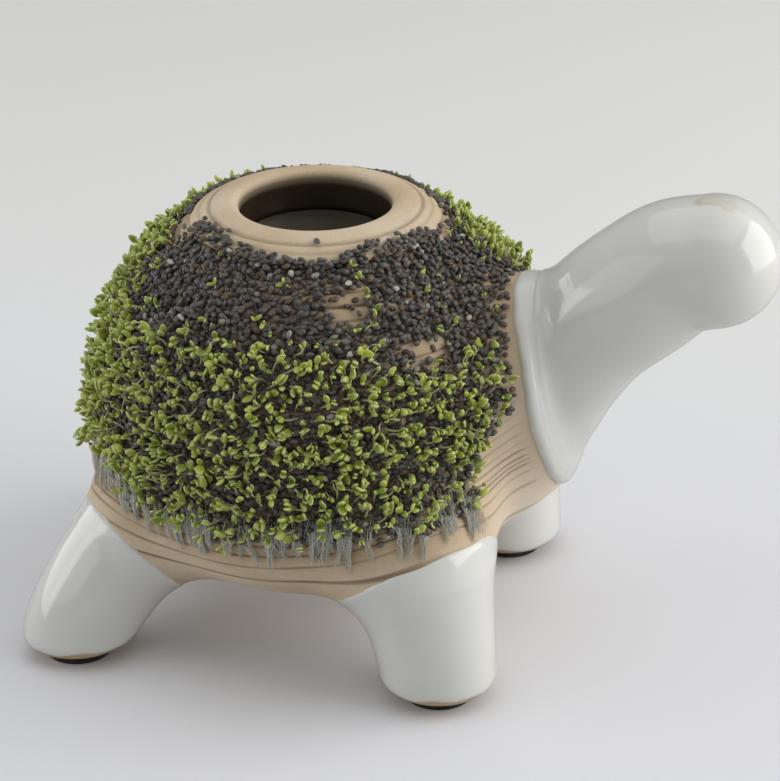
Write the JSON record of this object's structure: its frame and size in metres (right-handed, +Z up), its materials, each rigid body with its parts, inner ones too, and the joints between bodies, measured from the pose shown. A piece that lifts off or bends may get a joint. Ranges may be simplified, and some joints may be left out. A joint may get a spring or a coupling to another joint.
{
  "type": "turtle planter",
  "caption": "Turtle-shaped terracotta planter: a hollow grooved shell with a filling mouth, a glazed neck and legs on rubber pads, and sprouting seeds on the shell.",
  "frame": {"origin": "centre of the object's box in plan, on the surface that the four rubber pads stand on", "axes": "+X towards the turtle's head, +Y towards its left side, +Z up"},
  "size_m": [0.1836, 0.131, 0.1219],
  "materials": {
    "terracotta": "matte",
    "white_glaze": "gloss",
    "pad_rubber": "matte",
    "seed": "satin",
    "leaf": "satin",
    "root_hair": "matte",
    "water": "gloss"
  },
  "bodies": {
    "root": {"shell": "terracotta", "head_and_neck": "white_glaze", "leg_front_left": "white_glaze", "leg_front_right": "white_glaze", "leg_rear_left": "white_glaze", "leg_rear_right": "white_glaze", "foot_pad_front_left": "pad_rubber", "foot_pad_front_right": "pad_rubber", "foot_pad_rear_left": "pad_rubber", "foot_pad_rear_right": "pad_rubber", "seed_coat": "seed", "sprout_mat": "leaf", "root_fringe": "root_hair"}
  },
  "joints": []
}
